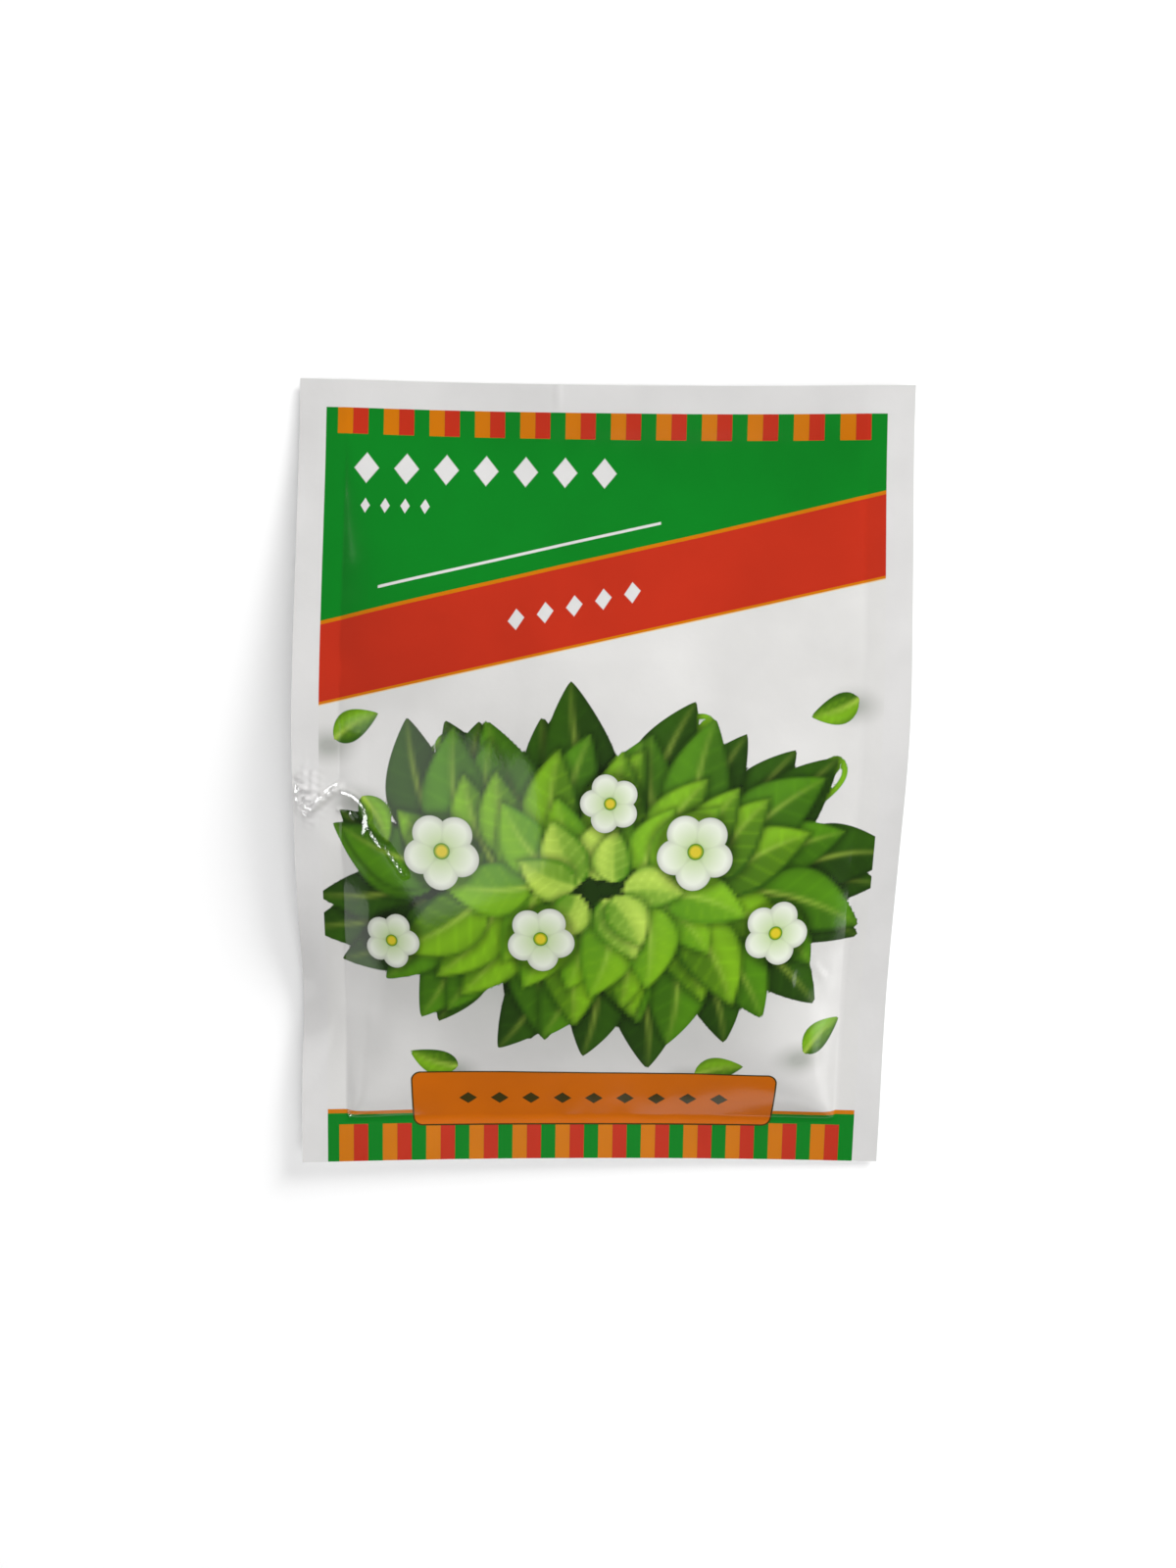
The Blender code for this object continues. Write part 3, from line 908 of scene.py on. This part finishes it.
front_film.data.materials.append(make_printed_film())
print("printed film has", len(front_film.data.materials[0].node_tree.nodes), "nodes")

# %% [markdown]
# ## The plain back and the peas
# The back sheet is the same film, white and unprinted. The peas are dry: a dull, slightly waxy skin
# between green and straw yellow, each pea a little different, and finely wrinkled.

# %% Give the back and the peas their finish
def make_plain_film():
    material, tree, shader = new_material("plain_film_look")
    colour = blend(tree, spread(tree, noise(tree, 40, 4), 0, 1), srgb(202, 201, 199), srgb(212, 211, 210))
    tree.links.new(colour, shader.inputs["Base Color"])
    tree.links.new(spread(tree, noise(tree, 200, 3), *FILM_ROUGHNESS), shader.inputs["Roughness"])
    shader.inputs["Specular IOR Level"].default_value = 0.0
    shader.inputs["Coat Weight"].default_value = BACK_GLOSS
    shader.inputs["Coat Roughness"].default_value = GLOSS_ROUGHNESS
    tree.links.new(film_grain(tree), shader.inputs["Normal"])
    return material


def make_dry_pea():
    material, tree, shader = new_material("dry_pea_look")
    hue = spread(tree, noise(tree, 120, 1), 0, 1)
    colour = blend(tree, hue, srgb(150, 158, 84), srgb(196, 184, 112))
    freckled = blend(tree, spread(tree, noise(tree, 1500, 3), 0, 0.35), colour, srgb(122, 124, 66))
    tree.links.new(freckled, shader.inputs["Base Color"])
    tree.links.new(spread(tree, noise(tree, 500, 2), 0.5, 0.7), shader.inputs["Roughness"])
    wrinkles = bump(tree, noise(tree, 700, 3), 0.0003, 0.7)
    tree.links.new(wrinkles, shader.inputs["Normal"])
    return material


back_film.data.materials.append(make_plain_film())
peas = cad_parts["pea_seeds"]
peas.data.materials.clear()
peas.data.materials.append(make_dry_pea())
print("back film and peas finished")

# %% [markdown]
# ## Floor, light and camera
# The packet lies on a plain pale floor. A lamp from beyond the right of its head models the swelling,
# and a large one overhead softens the shade. Seen in glossy film, lamps as large as these would wash
# the print out, so they light it without showing in the gloss. What shows in the gloss comes from
# lamps that light nothing else. Small bright ones stand low, where only steep folds face them, so the
# rims of the hollows glint while the rest stays clear. Dim ones lay a faint veil on the flanks, and a
# ring of long dim ones near the floor gives the film its sheen when it is seen from the side. Each
# lamp is given by its compass angle, its angle from straight overhead, its width and its height. The
# camera looks down from a quarter of a metre, tipped a little, as a phone is held over a table.

# %% Lay the floor
FLOOR_SIZE, FLOOR_WHITE = 4.0, 0.94
ground = bmesh.new()
bmesh.ops.create_grid(ground, x_segments=1, y_segments=1, size=FLOOR_SIZE / 2)
floor_mesh = bpy.data.meshes.new("floor")
ground.to_mesh(floor_mesh)
ground.free()
floor = bpy.data.objects.new("floor", floor_mesh)
bpy.context.scene.collection.objects.link(floor)
floor_material, _, floor_shader = new_material("pale_floor")
floor_shader.inputs["Base Color"].default_value = (FLOOR_WHITE, FLOOR_WHITE, FLOOR_WHITE, 1)
floor_shader.inputs["Roughness"].default_value = 0.8
floor_mesh.materials.append(floor_material)
floor.visible_glossy = False
print("floor of %.1f by %.1f m" % (FLOOR_SIZE, FLOOR_SIZE))

# %% Hang the lights
LAMP_DISTANCE = 2.0
WINDOW_LAMP, WINDOW_POWER = (50, 62, 0.8, 0.8), 31.2
OVERHEAD_LAMP, OVERHEAD_POWER = (310, 12, 1.6, 1.6), 32.2
GLINT, VEIL, SHEEN = 18.0, 1.4, 0.8
GLINT_LAMPS = (
    (0, 76.5, 0.3, 0.6),
    (138, 67, 0.5, 0.5),
    (187, 74, 0.58, 0.9),
    (205, 86, 0.35, 0.2),
    (219, 82.3, 0.62, 0.42),
    (236, 79, 0.5, 0.6),
    (348, 77, 0.28, 0.5),
)
VEIL_LAMPS = (
    (202, 30, 0.7, 0.7),
    (206, 66, 0.5, 0.45),
    (337, 73, 0.3, 0.3),
)
SHEEN_FROM_ZENITH, SHEEN_WIDTH, SHEEN_HEIGHT = 79, 2.2, 0.45
SKY_STRENGTH = 0.12


def add_lamp(name, compass, from_zenith, width, height, power):
    """A soft flat lamp at that compass angle (0 is +X, 90 the packet's head), aimed at the packet."""
    lamp = bpy.data.lights.new(name, "AREA")
    lamp.shape = "RECTANGLE"
    lamp.size, lamp.size_y = width, height
    lamp.energy = power
    holder = bpy.data.objects.new(name, lamp)
    turn, lean = math.radians(compass), math.radians(from_zenith)
    toward = Vector((math.sin(lean) * math.cos(turn), math.sin(lean) * math.sin(turn), math.cos(lean)))
    holder.location = LAMP_DISTANCE * toward
    holder.rotation_euler = toward.to_track_quat("Z", "Y").to_euler()
    bpy.context.scene.collection.objects.link(holder)
    return holder


def add_gloss_lamp(name, compass, from_zenith, width, height, brightness):
    """A lamp that lights nothing and shows only in the gloss, where the film faces it."""
    power = brightness * math.pi * width * height
    holder = add_lamp("%s_%d" % (name, compass), compass, from_zenith, width, height, power)
    holder.visible_diffuse = False
    holder.visible_camera = False


add_lamp("window_lamp", *WINDOW_LAMP, WINDOW_POWER).visible_glossy = False
add_lamp("overhead_fill", *OVERHEAD_LAMP, OVERHEAD_POWER).visible_glossy = False
for place_and_size in GLINT_LAMPS:
    add_gloss_lamp("glint_lamp", *place_and_size, GLINT)
for place_and_size in VEIL_LAMPS:
    add_gloss_lamp("veil_lamp", *place_and_size, VEIL)
for compass in range(30, 360, 60):
    add_gloss_lamp("sheen_lamp", compass, SHEEN_FROM_ZENITH, SHEEN_WIDTH, SHEEN_HEIGHT, SHEEN)
sky = bpy.data.worlds.new("sky")
sky.use_nodes = True
background = sky.node_tree.nodes["Background"]
background.inputs["Color"].default_value = (1, 1, 1, 1)
background.inputs["Strength"].default_value = SKY_STRENGTH
bpy.context.scene.world = sky
bpy.context.scene.view_settings.view_transform = "Standard"
print("lamps:", len(bpy.data.lights))

# %% Set the camera
PHOTO_HEIGHT, FOCAL_PIXELS = 1600, 1195.9
CAMERA_PLACE = (-0.00501, 0.02651, 0.25867)
CAMERA_TURN = (-5.89, -0.48, 0.95)
lens = bpy.data.cameras.new("camera")
lens.sensor_fit = "VERTICAL"
lens.sensor_height = 36.0
lens.lens = FOCAL_PIXELS / PHOTO_HEIGHT * lens.sensor_height
lens.clip_start = 0.01
camera = bpy.data.objects.new("camera", lens)
camera.location = CAMERA_PLACE
camera.rotation_euler = Euler([math.radians(angle) for angle in CAMERA_TURN])
bpy.context.scene.collection.objects.link(camera)
bpy.context.scene.camera = camera
print("camera %.0f mm above the floor, lens %.1f mm" % (camera.location.z / MM, lens.lens))
